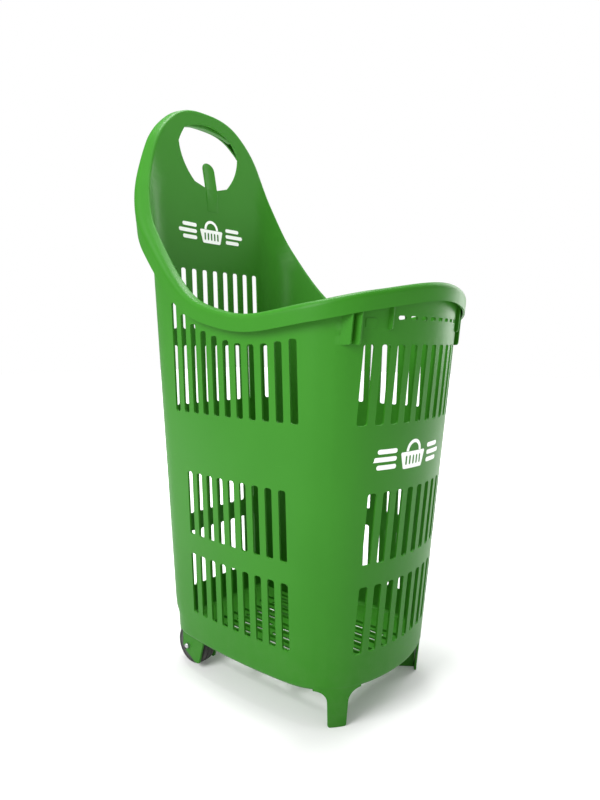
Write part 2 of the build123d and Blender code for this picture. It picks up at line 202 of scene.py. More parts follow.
# The rim's top edge as evenly spaced points, each with the way that runs square to it down the wall
def rimPath():
    fine = []
    count = 1440
    for i in range(count + 1):
        angle = wall["seamAngle"] + 360 * i / count
        point = planPoint(angle, rimHeight(angle))
        fine.append((angle, point))
    lengths = [0.0]
    for (_, p), (_, q) in zip(fine, fine[1:]):
        lengths.append(lengths[-1] + (q - p).length)
    total = ceil(lengths[-1] / rim["step"])
    path = []
    at = 0
    for i in range(total + 1):
        want = lengths[-1] * i / total
        while at < count - 1 and lengths[at + 1] < want:
            at += 1
        share = (want - lengths[at]) / (lengths[at + 1] - lengths[at])
        angle = fine[at][0] + (fine[at + 1][0] - fine[at][0]) * share
        z = rimHeight(angle)
        perDegree = (planPoint(angle + 0.5, z) - planPoint(angle - 0.5, z)).length
        rise = rimHeight(angle + 0.5) - rimHeight(angle - 0.5)
        slant = hypot(perDegree, rise)
        path.append((angle, z, rise / slant / perDegree, -perDegree / slant))
    return path


edgePath = rimPath()


# Point on the rim's section; the part outside the wall grows wider on the arch
def rimPoint(i, gap, drop):
    angle, z, perAngle, perZ = edgePath[i]
    if gap > 0:
        share = min(max((z - rim["widenFrom"]) / rim["widenOver"], 0), 1)
        gap *= 1 + rim["archWiden"] / rim["overhang"] * share * share * (3 - 2 * share)
    return planPoint(angle + drop * perAngle, z + drop * perZ, gap)


# Outlines
def arcPoints(centre, radius, start, end, steps):
    return [(centre[0] + radius * cos(radians(start + (end - start) * i / steps)),
             centre[1] + radius * sin(radians(start + (end - start) * i / steps)))
            for i in range(steps + 1)]


def roundedBox(x0, x1, z0, z1, radius, steps=4, spacing=11.0):
    corners = [(x1 - radius, z0 + radius, -90), (x1 - radius, z1 - radius, 0),
               (x0 + radius, z1 - radius, 90), (x0 + radius, z0 + radius, 180)]
    loop = []
    for cx, cz, start in corners:
        loop += arcPoints((cx, cz), radius, start, start + 90, steps)
    return spacedLoop(loop, spacing)


def spacedLoop(loop, spacing):
    out = []
    for a, b in zip(loop, loop[1:] + loop[:1]):
        length = hypot(b[0] - a[0], b[1] - a[1])
        if length < 1e-6:
            continue
        parts = max(1, round(length / spacing))
        for i in range(parts):
            out.append((a[0] + (b[0] - a[0]) * i / parts, a[1] + (b[1] - a[1]) * i / parts))
    return out


# Polygon with its corners rounded, each by its own radius
def roundedLoop(corners, steps=5, spacing=9.0):
    loop = []
    count = len(corners)
    for i, (x, z, radius) in enumerate(corners):
        here = Vector((x, z))
        before = (Vector(corners[i - 1][:2]) - here).normalized()
        after = (Vector(corners[(i + 1) % count][:2]) - here).normalized()
        if radius <= 0:
            loop.append((x, z))
            continue
        half = before.angle(after) / 2
        tangent = radius / sin(half) * cos(half)
        centre = here + (before + after).normalized() * (radius / sin(half))
        start = here + before * tangent - centre
        end = here + after * tangent - centre
        sweep = start.angle_signed(end)
        for k in range(steps + 1):
            turned = start.copy()
            turned.rotate(Matrix.Rotation(-sweep * k / steps, 2))
            loop.append(tuple(centre + turned))
    return spacedLoop(loop, spacing)


def handLoop():
    top = wall["archHeight"]
    shoulder = (hand["halfWidth"], top + hand["shoulder"])
    sideMid = (hand["sideHalf"], top + hand["side"])
    bottom = (hand["bottomHalf"], top + hand["bottom"])
    crown = (0, top + hand["top"])

    def throughThree(a, b, c, steps):
        out = []
        for i in range(steps):
            t = i / steps
            pull = [2 * b[k] - (a[k] + c[k]) / 2 for k in (0, 1)]
            out.append(tuple((1 - t) ** 2 * a[k] + 2 * t * (1 - t) * pull[k] + t * t * c[k] for k in (0, 1)))
        return out

    right = throughThree(bottom, sideMid, shoulder, 12)
    over = throughThree(shoulder, crown, (-shoulder[0], shoulder[1]), 18)
    left = throughThree((-shoulder[0], shoulder[1]), (-sideMid[0], sideMid[1]),
                        (-bottom[0], bottom[1]), 12)
    loop = right + over + left + [(-bottom[0], bottom[1])]
    # soften the corners at the shoulders and at the bottom
    for _ in range(hand["softPasses"]):
        loop = [tuple((Vector(loop[i - 1]) + 2 * Vector(p) + Vector(loop[(i + 1) % len(loop)])) / 4)
                if min(abs(abs(p[0]) - shoulder[0]) + abs(p[1] - shoulder[1]),
                       abs(abs(p[0]) - bottom[0]) + abs(p[1] - bottom[1])) < hand["softReach"] else p
                for i, p in enumerate(loop)]
    return spacedLoop(loop, hand["spacing"])


# Every opening in the wall as (face, outline)
def wallOpenings():
    found = []
    for row in ("low", "mid"):
        low, high = slots[row]
        for face, pitch, shift in (("left", "sidePitch", slots["sideShift"]),
                                   ("right", "sidePitch", slots["sideShift"]),
                                   ("front", "frontPitch", 0), ("back", "backPitch", 0)):
            found += slotRow(face, slots["narrow"], slots[pitch], shift, low, high)
    low, high = slots["high"]
    found += slotRow("front", slots["wide"], slots["frontPitch"], 0, low, high)
    found += slotRow("back", slots["wide"], slots["backPitch"], 0, *slots["backHigh"])
    found += slotRow("back", slots["narrow"], slots["backPitch"], 0, *slots["backTop"])
    for face in ("left", "right"):
        for k in range(slots["wide"]):
            y = slots["sideShift"] + (k - (slots["wide"] - 1) / 2) * slots["sidePitch"]
            half = wall["halfWidth"] + wall["sideDraft"] * high
            angle = degrees(atan2(half, -y))
            slope = (rimHeight(angle + 0.5) - rimHeight(angle - 0.5)) / (radians(1) * (half + 50))
            top = rimHeight(angle) - rim["band"] * sqrt(1 + slope * slope) - slots["rimGap"]
            found.append((face, roundedBox(y - slots["width"] / 2, y + slots["width"] / 2, low, top,
                                           slots["round"])))
    halfWide, halfHigh = slots["ventWidth"] / 2, slots["ventHeight"] / 2
    for k in range(slots["ventCount"]):
        x = (k - (slots["ventCount"] - 1) / 2) * slots["ventPitch"]
        found.append(("front", roundedBox(x - halfWide, x + halfWide, slots["ventLevel"] - halfHigh,
                                          slots["ventLevel"] + halfHigh, slots["ventRound"])))
    found.append(("back", handLoop()))
    return found


def slotRow(face, count, pitch, shift, low, high):
    row = []
    for k in range(count):
        middle = shift + (k - (count - 1) / 2) * pitch
        row.append((face, roundedBox(middle - slots["width"] / 2, middle + slots["width"] / 2,
                                     low, high, slots["round"])))
    return row


# Mesh helpers; every mesh is made in millimetres and scaled to metres here
def newObject(name, points, polygons):
    mesh = bpy.data.meshes.new(name)
    mesh.from_pydata([Vector(p) * mm for p in points], [], polygons)
    mesh.validate()
    obj = bpy.data.objects.new(name, mesh)
    bpy.context.scene.collection.objects.link(obj)
    return obj


def applied(obj):
    depsgraph = bpy.context.evaluated_depsgraph_get()
    mesh = bpy.data.meshes.new_from_object(obj.evaluated_get(depsgraph))
    old = obj.data
    obj.modifiers.clear()
    obj.data = mesh
    mesh.name = obj.name
    bpy.data.meshes.remove(old)
    return obj


def cleaned(obj, distance=0.02, outward=True):
    bm = bmesh.new()
    bm.from_mesh(obj.data)
    bmesh.ops.remove_doubles(bm, verts=bm.verts, dist=distance * mm)
    bmesh.ops.dissolve_degenerate(bm, edges=bm.edges, dist=distance * mm / 4)
    if outward:
        bmesh.ops.recalc_face_normals(bm, faces=bm.faces)
    bm.to_mesh(obj.data)
    bm.free()
    return obj


def bevelled(obj, width, segments=2, angle=35):
    bevel = obj.modifiers.new("softEdges", "BEVEL")
    bevel.width = width * mm
    bevel.segments = segments
    bevel.limit_method = "ANGLE"
    bevel.angle_limit = radians(angle)
    bevel.use_clamp_overlap = True
    return applied(obj)


def smoothed(obj, angle=38):
    for polygon in obj.data.polygons:
        polygon.use_smooth = True
    obj.data.set_sharp_from_angle(angle=radians(angle))
    weighted = obj.modifiers.new("faceNormals", "WEIGHTED_NORMAL")
    weighted.keep_sharp = True
    weighted.weight = 60
    return applied(obj)


def combined(obj, others, operation):
    for other in others:
        boolean = obj.modifiers.new("join", "BOOLEAN")
        boolean.operation = operation
        boolean.solver = "MANIFOLD"
        boolean.object = other
    applied(obj)
    for other in others:
        bpy.data.objects.remove(other)
    return obj


def copied(obj, name):
    twin = bpy.data.objects.new(name, obj.data.copy())
    bpy.context.scene.collection.objects.link(twin)
    return twin


def mirroredCopy(obj, name):
    twin = copied(obj, name)
    twin.data.transform(Matrix.Scale(-1, 4, (1, 0, 0)))
    twin.data.flip_normals()
    return twin


# Outline in the YZ plane, made solid from x0 to x1
def prismAlongX(name, outline, x0, x1):
    count = len(outline)
    points = [(x0, y, z) for y, z in outline] + [(x1, y, z) for y, z in outline]
    sides = [(i, (i + 1) % count, count + (i + 1) % count, count + i) for i in range(count)]
    obj = newObject(name, points, sides + [tuple(range(count)), tuple(range(count, 2 * count))])
    return cleaned(obj)


def areaOf(loop):
    return sum(a[0] * b[1] - b[0] * a[1] for a, b in zip(loop, loop[1:] + loop[:1])) / 2


# Flat region with openings, filled with even triangles
def filledRegion(outer, inner, extra):
    points, loops = [], []
    for loop in [outer] + inner:
        loops.append(list(range(len(points), len(points) + len(loop))))
        points += [Vector(p) for p in (loop if areaOf(loop) > 0 else loop[::-1])]
    points += [Vector(p) for p in extra]
    flat, _, triangles, _, _, origins = delaunay_2d_cdt(points, [], loops, 1, 1e-4)
    return [(p.x, p.y) for p in flat], [tuple(t) for t, loop in zip(triangles, origins) if loop == [0]]


# Slab between two layers of the same triangles, with its edge closed
def slabObject(name, triangles, upper, lower):
    count = len(upper)
    edges = {}
    for triangle in triangles:
        for pair in zip(triangle, triangle[1:] + triangle[:1]):
            key = tuple(sorted(pair))
            edges[key] = None if key in edges else pair
    polygons = list(triangles) + [tuple(i + count for i in reversed(t)) for t in triangles]
    polygons += [(b, a, a + count, b + count) for a, b in filter(None, edges.values())]
    return cleaned(newObject(name, upper + lower, polygons), 0.01)


def loopBox(loop):
    xs, zs = [p[0] for p in loop], [p[1] for p in loop]
    return min(xs), max(xs), min(zs), max(zs)


def nearLoops(x, z, boxes, clear):
    return any(a - clear < x < b + clear and c - clear < z < d + clear for a, b, c, d in boxes)


def insideLoop(x, z, loop):
    inside = False
    for (x0, z0), (x1, z1) in zip(loop, loop[1:] + loop[:1]):
        if (z0 > z) != (z1 > z) and x < (x1 - x0) * (z - z0) / (z1 - z0) + x0:
            inside = not inside
    return inside


def farFromLoop(x, z, loop, clear):
    return all(hypot(x - a, z - b) > clear for a, b in loop)


floor = {
    "slotPitch": 22.0, "rowPitch": 80.0, "slotCount": 7, "rowCount": 3, "slotWidth": 7.0, "slotLength": 62.0,
    "slotRound": 3.4, "grid": 11.0, "gridX": 15, "gridY": 18, "edgeClear": 7.0, "slotClear": 3.0,
    "ribCount": 8, "ribLength": 262.0, "ribWidth": 2.4, "ribHeight": 6.0, "ribMiddle": 1.0,
}


# The wall's inner skin with all its openings, the rim over its top and the floor below, as one sheet
def basketSheet():
    inner = -wall["thickness"]
    scale = meshing["perDegree"]
    seam = wall["seamAngle"]
    low = wall["floorTop"] + wall["baseRound"] - wall["thickness"]
    steps = meshing["baseSteps"]
    bottom = [(seam + 360 * i / steps, low) for i in range(steps + 1)]
    top = []
    for angle, z, perAngle, perZ in edgePath:
        drop = rim["wallMeets"]
        top.append((angle + drop * perAngle, z + drop * perZ))
    seamSteps = round((top[0][1] - low) / 10)
    lean = top[0][0] - seam
    up = [(seam + lean * i / seamSteps, low + (top[0][1] - low) * i / seamSteps)
          for i in range(1, seamSteps)]
    outer = bottom + [(a + 360, z) for a, z in up] + top[::-1] + up[::-1]
    outer = [(a * scale, z) for a, z in outer]

    holes = []
    for face, loop in wallOpenings():
        laid = []
        for across, z in loop:
            angle = wallAngle(face, across, z, inner)
            angle += 360 if angle < seam else 0
            laid.append((angle * scale, z))
        holes.append(laid)
    handHole = holes[-1]
    boxes = [loopBox(loop) for loop in holes[:-1]]
    extra = []
    columns = int(360 * scale / meshing["gridX"])
    rows = int((wall["archHeight"] - low) / meshing["gridZ"])
    for j in range(1, rows):
        z = low + meshing["gridZ"] * j
        for i in range(1, columns):
            angle = seam + (360 * (i + 0.5 * (j % 2)) / columns)
            slope = (rimHeight(angle + 0.5) - rimHeight(angle - 0.5)) / scale
            margin = (rim["wallMeets"] + 5) * sqrt(1 + slope * slope)
            x = angle * scale
            if z > rimHeight(angle) - margin or angle < seam + 1.5 or angle > seam + 358.5:
                continue
            if nearLoops(x, z, boxes, meshing["clear"]):
                continue
            if abs(angle - 180) < 30 and (insideLoop(x, z, handHole)
                                          or not farFromLoop(x, z, handHole, 6)):
                continue
            extra.append((x, z))
    flat, polygons = filledRegion(outer, holes, extra)
    points = [planPoint(x / scale, z, inner) for x, z in flat]

    def addRows(rowList):
        count = len(rowList[0])
        start = len(points)
        for row in rowList:
            points.extend(row)
        for j in range(len(rowList) - 1):
            for i in range(count - 1):
                a = start + j * count + i
                polygons.append((a, a + 1, a + count + 1, a + count))

    # Section of the rim as (gap, drop): up the inside, over the top and down the outer band
    over, band = rim["overhang"], rim["band"]
    inRound, outRound = rim["innerRound"], rim["outerRound"]
    section = [(inner, rim["wallMeets"])]
    section += [(g, d) for g, d in arcPoints((inner + inRound, inRound), inRound, 180, 270, 5)]
    section += [((inner + inRound + over - outRound) / 2, 0.0)]
    section += [(g, d) for g, d in arcPoints((over - outRound, outRound), outRound, 270, 360, 7)]
    section += [(over, outRound + (band - outRound) * k / 3) for k in (1, 2, 3)]
    count = len(edgePath)
    addRows([[rimPoint(i, gap, drop) for i in range(count)] for gap, drop in section])

    # Rounded foot of the wall, then the floor with its slots
    foot = wall["baseRound"] - wall["thickness"]
    ringRows = []
    for k in range(6):
        turn = radians(90 * k / 5)
        gap = inner - foot * (1 - cos(turn))
        z = low - foot * sin(turn)
        ringRows.append([planPoint(a, z, gap) for a, _ in bottom])
    addRows(ringRows)
    edge = [(p.x, p.y) for p in ringRows[-1][:-1]]
    openings = []
    halfWide, halfLong = floor["slotWidth"] / 2, floor["slotLength"] / 2
    for i in range(floor["slotCount"]):
        for j in range(floor["rowCount"]):
            x = (i - (floor["slotCount"] - 1) / 2) * floor["slotPitch"]
            y = (j - (floor["rowCount"] - 1) / 2) * floor["rowPitch"]
            openings.append(roundedBox(x - halfWide, x + halfWide, y - halfLong, y + halfLong,
                                       floor["slotRound"], 4, 12))
    floorBoxes = [loopBox(loop) for loop in openings]
    spots = []
    for i in range(-floor["gridX"], floor["gridX"] + 1):
        for j in range(-floor["gridY"], floor["gridY"] + 1):
            x, y = i * floor["grid"], j * floor["grid"]
            if (insideLoop(x, y, edge) and farFromLoop(x, y, edge, floor["edgeClear"])
                    and not nearLoops(x, y, floorBoxes, floor["slotClear"])):
                spots.append((x, y))
    flat, floorFaces = filledRegion(edge, openings, spots)
    start = len(points)
    points.extend(Vector((x, y, wall["floorTop"])) for x, y in flat)
    polygons.extend(tuple(start + i for i in face) for face in floorFaces)

    sheet = newObject("basketShell", points, polygons)
    cleaned(sheet, 0.05)
    floorFace = min(sheet.data.polygons, key=lambda p: p.center.length_squared - p.center.z**2
                    + (1 if p.center.z > wall["floorTop"] * mm * 1.01 else 0))
    if floorFace.normal.z < 0:
        sheet.data.flip_normals()
    thick = sheet.modifiers.new("wallThickness", "SOLIDIFY")
    thick.thickness = wall["thickness"] * mm
    thick.offset = -1
    thick.use_even_offset = True
    thick.use_quality_normals = True
    applied(sheet)
    return bevelled(sheet, 0.7, 2, 40)


# Patch that follows the wall: an outline on one face, thickened from one gap to another
def wallPatch(name, face, outline, gapIn, gapOut, inner=(), spacing=7.0):
    outline = spacedLoop(outline, spacing)
    x0, x1, z0, z1 = loopBox(outline)
    extra = []
    for i in range(int((x1 - x0) / spacing) + 1):
        for j in range(int((z1 - z0) / spacing) + 1):
            x, z = x0 + spacing * (i + 0.5), z0 + spacing * (j + 0.5)
            loops = [outline] + list(inner)
            if insideLoop(x, z, outline) and all(farFromLoop(x, z, loop, spacing * 0.55) for loop in loops):
                extra.append((x, z))
    flat, triangles = filledRegion(outline, list(inner), extra)
    layers = [[planPoint(wallAngle(face, x, z, gap), z, gap) for x, z in flat] for gap in (gapOut, gapIn)]
    return slabObject(name, triangles, *layers)


foot = {"angle": 36.0, "bottom": 13.0, "neck": 15.5, "shoulder": 54.0, "top": 34.0, "flare": 18.0,
        "corner": 3.0, "inset": 0.5, "thickness": 4.0, "height": 66.0, "spread": 32.0, "grid": 6.0,
        "webHeel": -47.5, "webToe": -25.5, "webTread": 2.4, "webRoot": 4.5, "webHalf": 1.5, "webLift": 0.5}


def frontFoot():
    outward = Vector((-sin(radians(foot["angle"])), -cos(radians(foot["angle"]))))
    along = Vector((-outward.y, outward.x))

    def angleFor(s, z, gap):
        return angleWhere(lambda angle: planPoint(angle, z, gap).xy.dot(along),
                          foot["angle"] - foot["spread"], foot["angle"] + foot["spread"], s, 24)

    right = [(foot["bottom"], 0, foot["corner"]), (foot["neck"], foot["shoulder"], foot["flare"]),
             (foot["top"], foot["shoulder"], 0), (foot["top"], foot["height"], 0)]
    outline = roundedLoop(right + [(-x, z, r) for x, z, r in reversed(right)], 8, 5)
    left = loopBox(outline)[0]
    grid = [(left + foot["grid"] * i, foot["grid"] * (j + 0.5)) for i in range(12) for j in range(11)]
    extra = [(x, z) for x, z in grid
             if insideLoop(x, z, outline) and farFromLoop(x, z, outline, foot["grid"] / 2)]
    flat, triangles = filledRegion(outline, [], extra)
    layers = [[planPoint(angleFor(x, z, gap), z, gap) for x, z in flat]
              for gap in (-foot["inset"], -foot["thickness"])]
    skin = bevelled(slabObject("footSkin", triangles, *layers), 0.7, 2, 50)

    # Stiffening web behind the foot
    top, lift = wall["baseHeight"] + 1, foot["webLift"]
    webOutline = [("webHeel", top), ("webToe", lift), ("webTread", lift), ("webRoot", top)]
    points = []
    for side in (-foot["webHalf"], foot["webHalf"]):
        for key, z in webOutline:
            points.append(Vector((*(outward * (wall["frontDepth"] + foot[key]) + along * side), z)))
    polygons = [(0, 1, 2, 3), (7, 6, 5, 4)] + [(i, (i + 1) % 4, (i + 1) % 4 + 4, i + 4) for i in range(4)]
    web = bevelled(cleaned(newObject("footWeb", points, polygons)), 0.5, 2)
    return skin, web


wheel = {
    "x": (tyreLow.x + tyreHigh.x) / 2 / mm, "y": (axleLow.y + axleHigh.y) / 2 / mm,
    "z": (axleLow.z + axleHigh.z) / 2 / mm, "radius": (tyreHigh.z - tyreLow.z) / 2 / mm,
    "width": (tyreHigh.x - tyreLow.x) / mm, "axle": (axleHigh.z - axleLow.z) / 2 / mm,
    "legGap": 3.0, "legThickness": 4.0, "wellMargin": 6.0, "wellSkin": 3.0, "snap": 7.4,
    "snapAngle": -35.0, "wellInset": 0.4, "seat": 0.05,
    "legFront": 38.0, "legToeFront": 25.0, "legToeRear": 16.0, "legRear": 13.0, "legTip": 9.0, "legSeat": 7.0,
    "legRoot": 1.7, "legRound": 3.5, "legRearRound": 3.0,
}


def circleOutline(radius, steps=96):
    return [(wheel["y"] + radius * cos(2 * pi * i / steps), wheel["z"] + radius * sin(2 * pi * i / steps))
            for i in range(steps)]


def legSolid(x0, x1):
    y, z = wheel["y"], wheel["z"]
    top, tip, rear = wall["baseHeight"] + wheel["legRoot"], wheel["legTip"], y + wheel["legRear"]
    outline = roundedLoop([(y - wheel["legFront"], top, 0),
                           (y - wheel["legToeFront"], tip, wheel["legRound"]),
                           (y - wheel["legToeRear"], tip, wheel["legRound"]),
                           (rear, z - wheel["legSeat"], wheel["legRearRound"]), (rear, top, 0)], 6, 6)
    leg = prismAlongX("axleLeg", outline, x0, x1)
    bore = prismAlongX("legBore", circleOutline(wheel["axle"] + wheel["seat"], 48), x0 - 1, x1 + 1)
    turn = radians(wheel["snapAngle"])
    half = wheel["snap"] / 2
    notch = [(0, -half), (40, -half), (40, half), (0, half)]
    notch = [(y + a * cos(turn) - b * sin(turn), z + a * sin(turn) + b * cos(turn)) for a, b in notch]
    mouth = prismAlongX("legMouth", notch, x0 - 1, x1 + 1)
    return bevelled(combined(leg, [bore, mouth], "DIFFERENCE"), 0.5, 2)


def outerVolume():
    levels = [20, 53, 60, 70, 82, 86, 90, 94, 98, 103, 120, 140]
    steps = 180
    points, polygons = [], []
    for z in levels:
        points += [planPoint(360 * i / steps, z, -wheel["wellInset"]) for i in range(steps)]
    for j in range(len(levels) - 1):
        for i in range(steps):
            a, b = j * steps + i, j * steps + (i + 1) % steps
            polygons.append((a, b, b + steps, a + steps))
    last = (len(levels) - 1) * steps
    polygons += [tuple(range(steps)), tuple(range(last, last + steps))]
    return cleaned(newObject("outerVolume", points, polygons))


def wellSkin(x0, x1):
    radius = wheel["radius"] + wheel["wellMargin"] + wheel["wellSkin"]
    base = wall["baseHeight"] + 0.5
    lift = base - wheel["z"]
    start = degrees(atan2(lift, sqrt(radius**2 - lift**2)))
    outline = arcPoints((wheel["y"], wheel["z"]), radius, start, 180 - start, 44)
    return bevelled(prismAlongX("wellSkin", outline, x0, x1), 1.6, 3, 50)


stacking = {
    "half": 1.5, "root": -1.5, "round": 4.0, "underRim": 1.5,
    "ribs": ((13.5, 10.6, 521.0), (4.5, 10.6, 521.0), (55.0, 6.0, 540.0)),  # place, depth, lower end
    "pad": (37.5, 24.5, 542.0, 554.0), "padRound": 1.2, "padProud": 1.2, "padSunk": -0.5,
}


def frontRibs():
    made = []
    half, sunk = wall["halfWidth"], stacking["root"]
    for inward, depth, low in stacking["ribs"]:
        place = half - inward
        high = rimHeight(wallAngle("front", place, low, 0)) - stacking["underRim"]
        root = [planPoint(wallAngle("front", place, z, sunk), z, sunk).y for z in (low, high)]
        tip = [planPoint(wallAngle("front", place, z, depth), z, depth).y for z in (low, high)]
        outline = roundedLoop([(root[0], low, 0), (tip[0], low, stacking["round"]), (tip[1], high, 0),
                               (root[1], high, 0)], 5, 20)
        rib = prismAlongX("rib", outline, place - stacking["half"], place + stacking["half"])
        made += [bevelled(rib, 0.5, 2), mirroredCopy(rib, "ribTwin")]
    far, near, low, high = stacking["pad"]
    pad = wallPatch("pad", "front", roundedBox(half - far, half - near, low, high, stacking["padRound"]),
                    stacking["padSunk"], stacking["padProud"], (), 3.0)
    return made + [pad, mirroredCopy(pad, "padTwin")]


def hangingHook():
    top = wall["archHeight"]
    bottom = top + hand["bottom"]
    half = hand["hookWidth"] / 2
    length = hand["hookTop"] - hand["bottom"]
    outline = [(-half, -hand["hookRoot"]), (half, -hand["hookRoot"])]
    outline = spacedLoop(outline + arcPoints((0, length - half), half, 0, 180, 16), 6)
    start = planPoint(180, bottom - hand["hookRoot"], -wall["thickness"] / 2 - hand["hookThickness"] / 2)
    inside = [(x, h) for x in (-6, 0, 6) for h in range(-28, int(length) - 6, 5)]
    flat, triangles = filledRegion(outline, [], inside)
    # the strip leaves the panel softly and then leans back
    lean = radians(hand["hookLean"])

    def place(x, h, out):
        rise = h + hand["hookRoot"]
        low = bottom - hand["hookRoot"]
        wallY = planPoint(180, low + rise, 0).y - planPoint(180, low, 0).y
        ease = max(h - hand["hookBendFrom"], 0)
        bend = sin(lean) * ease * ease / (ease + hand["hookBendOver"])
        dish = -x * x / hand["hookDish"]
        if h <= 0:
            dish *= max(1 + h / 20, 0)
        return Vector((x, start.y + wallY + bend + dish + out, start.z + rise))

    layers = [[place(x, h, out) for x, h in flat] for out in (0.0, hand["hookThickness"])]
    return bevelled(slabObject("hook", triangles, *layers), 1.2, 3, 45)


def buildBasket():
    shell = basketSheet()
    print("shell", len(shell.data.polygons))
    x = wheel["x"]
    inside = x - wheel["width"] / 2 - wheel["legGap"]
    outside = x + wheel["width"] / 2 + wheel["legGap"]
    thick = wheel["legThickness"]
    well = wellSkin(inside - thick, outside + thick)
    wells = [well, mirroredCopy(well, "wellTwin")]
    volume = outerVolume()
    for part in wells:
        combined(part, [copied(volume, "clip")], "INTERSECT")
    bpy.data.objects.remove(volume)
    skin, web = frontFoot()
    feet = [skin, web, mirroredCopy(skin, "footTwin"), mirroredCopy(web, "webTwin")]
    combined(shell, wells + feet, "UNION")
    space = prismAlongX("space", circleOutline(wheel["radius"] + wheel["wellMargin"]), inside, outside)
    combined(shell, [space, mirroredCopy(space, "spaceTwin")], "DIFFERENCE")
    legs = [legSolid(inside - thick, inside), legSolid(outside, outside + thick)]
    legs += [mirroredCopy(leg, "legTwin") for leg in legs]
    combined(shell, legs + frontRibs() + [hangingHook()], "UNION")
    print("basket", len(shell.data.polygons))
    return smoothed(shell)


# Geometry Nodes
def nodeTree(name, sizes):
    tree = bpy.data.node_groups.new(name, "GeometryNodeTree")
    tree.interface.new_socket("Geometry", in_out="OUTPUT", socket_type="NodeSocketGeometry")
    for label, kind, value in sizes:
        socket = tree.interface.new_socket(label, in_out="INPUT", socket_type=kind)
        socket.default_value = value
    return tree


def grown(name, tree, values, material):
    obj = newObject(name, [(0, 0, 0), (1, 0, 0), (0, 1, 0)], [(0, 1, 2)])
    modifier = obj.modifiers.new("build", "NODES")
    modifier.node_group = tree
    for item in tree.interface.items_tree:
        if item.item_type == "SOCKET" and item.in_out == "INPUT" and item.name in values:
            modifier[item.identifier] = values[item.name]
    applied(obj)
    obj.data.materials.clear()
    obj.data.materials.append(material)
    return obj


def barRowTree(material):
    tree = nodeTree("barRow", [("Count", "NodeSocketInt", 8), ("Pitch", "NodeSocketFloat", 0.022),
                               ("Length", "NodeSocketFloat", 0.25), ("Width", "NodeSocketFloat", 0.0025),
                               ("Height", "NodeSocketFloat", 0.004), ("Level", "NodeSocketFloat", 0.055)])
    add, link = tree.nodes.new, tree.links.new
    given, out = add("NodeGroupInput"), add("NodeGroupOutput")
    line, cube = add("GeometryNodeMeshLine"), add("GeometryNodeMeshCube")
    put = add("GeometryNodeInstanceOnPoints")
    lessOne, span, half = add("ShaderNodeMath"), add("ShaderNodeMath"), add("ShaderNodeMath")
    lessOne.operation, span.operation, half.operation = "SUBTRACT", "MULTIPLY", "MULTIPLY"
    lessOne.inputs[1].default_value = 1
    half.inputs[1].default_value = -0.5
    start, step, size = add("ShaderNodeCombineXYZ"), add("ShaderNodeCombineXYZ"), add("ShaderNodeCombineXYZ")
    real, paint = add("GeometryNodeRealizeInstances"), add("GeometryNodeSetMaterial")
    paint.inputs["Material"].default_value = material
    link(given.outputs["Count"], lessOne.inputs[0])
    link(lessOne.outputs[0], span.inputs[0])
    link(given.outputs["Pitch"], span.inputs[1])
    link(span.outputs[0], half.inputs[0])
    link(half.outputs[0], start.inputs["X"])
    link(given.outputs["Level"], start.inputs["Z"])
    link(given.outputs["Pitch"], step.inputs["X"])
    link(given.outputs["Count"], line.inputs["Count"])
    link(start.outputs[0], line.inputs["Start Location"])
    link(step.outputs[0], line.inputs["Offset"])
    link(given.outputs["Width"], size.inputs["X"])
    link(given.outputs["Length"], size.inputs["Y"])
    link(given.outputs["Height"], size.inputs["Z"])
    link(size.outputs[0], cube.inputs["Size"])
    link(line.outputs[0], put.inputs["Points"])
    link(cube.outputs["Mesh"], put.inputs["Instance"])
    link(put.outputs[0], real.inputs[0])
    link(real.outputs[0], paint.inputs["Geometry"])
    link(paint.outputs[0], out.inputs[0])
    return tree


# Shader groups shared by the materials
def shaderGroup(name, inputs, outputs):
    tree = bpy.data.node_groups.new(name, "ShaderNodeTree")
    for label, kind, value in inputs:
        socket = tree.interface.new_socket(label, in_out="INPUT", socket_type=kind)
        if value is not None:
            socket.default_value = value
    for label, kind in outputs:
        tree.interface.new_socket(label, in_out="OUTPUT", socket_type=kind)
    return tree


def mapRange(tree, source, low, high, toLow, toHigh):
    node = tree.nodes.new("ShaderNodeMapRange")
    node.inputs["From Min"].default_value = low
    node.inputs["From Max"].default_value = high
    node.inputs["To Min"].default_value = toLow
    node.inputs["To Max"].default_value = toHigh
    tree.links.new(source, node.inputs["Value"])
    return node.outputs[0]


def mathNode(tree, operation, first, second):
    node = tree.nodes.new("ShaderNodeMath")
    node.operation = operation
    for socket, value in zip(node.inputs, (first, second)):
        if isinstance(value, (int, float)):
            socket.default_value = value
        else:
            tree.links.new(value, socket)
    return node.outputs[0]


def noiseNode(tree, vector, scale, detail=3.0, rough=0.5):
    node = tree.nodes.new("ShaderNodeTexNoise")
    node.inputs["Detail"].default_value = detail
    node.inputs["Roughness"].default_value = rough
    if isinstance(scale, (int, float)):
        node.inputs["Scale"].default_value = scale
    else:
        tree.links.new(scale, node.inputs["Scale"])
    tree.links.new(vector, node.inputs["Vector"])
    return node.outputs["Fac"]


# Height of a spark-eroded mould surface: fine grain over a slow unevenness
def mouldGrainGroup():
    tree = shaderGroup("mouldGrain",
                       [("Vector", "NodeSocketVector", None), ("Scale", "NodeSocketFloat", 900.0),
                        ("Waviness", "NodeSocketFloat", 0.3)], [("Height", "NodeSocketFloat")])
    given, out = tree.nodes.new("NodeGroupInput"), tree.nodes.new("NodeGroupOutput")
    fine = noiseNode(tree, given.outputs["Vector"], given.outputs["Scale"], 2.0, 0.6)
    slow = noiseNode(tree, given.outputs["Vector"], 38.0, 1.0)
    wavy = mathNode(tree, "MULTIPLY", slow, given.outputs["Waviness"])
    tree.links.new(mathNode(tree, "ADD", fine, wavy), out.inputs["Height"])
    return tree


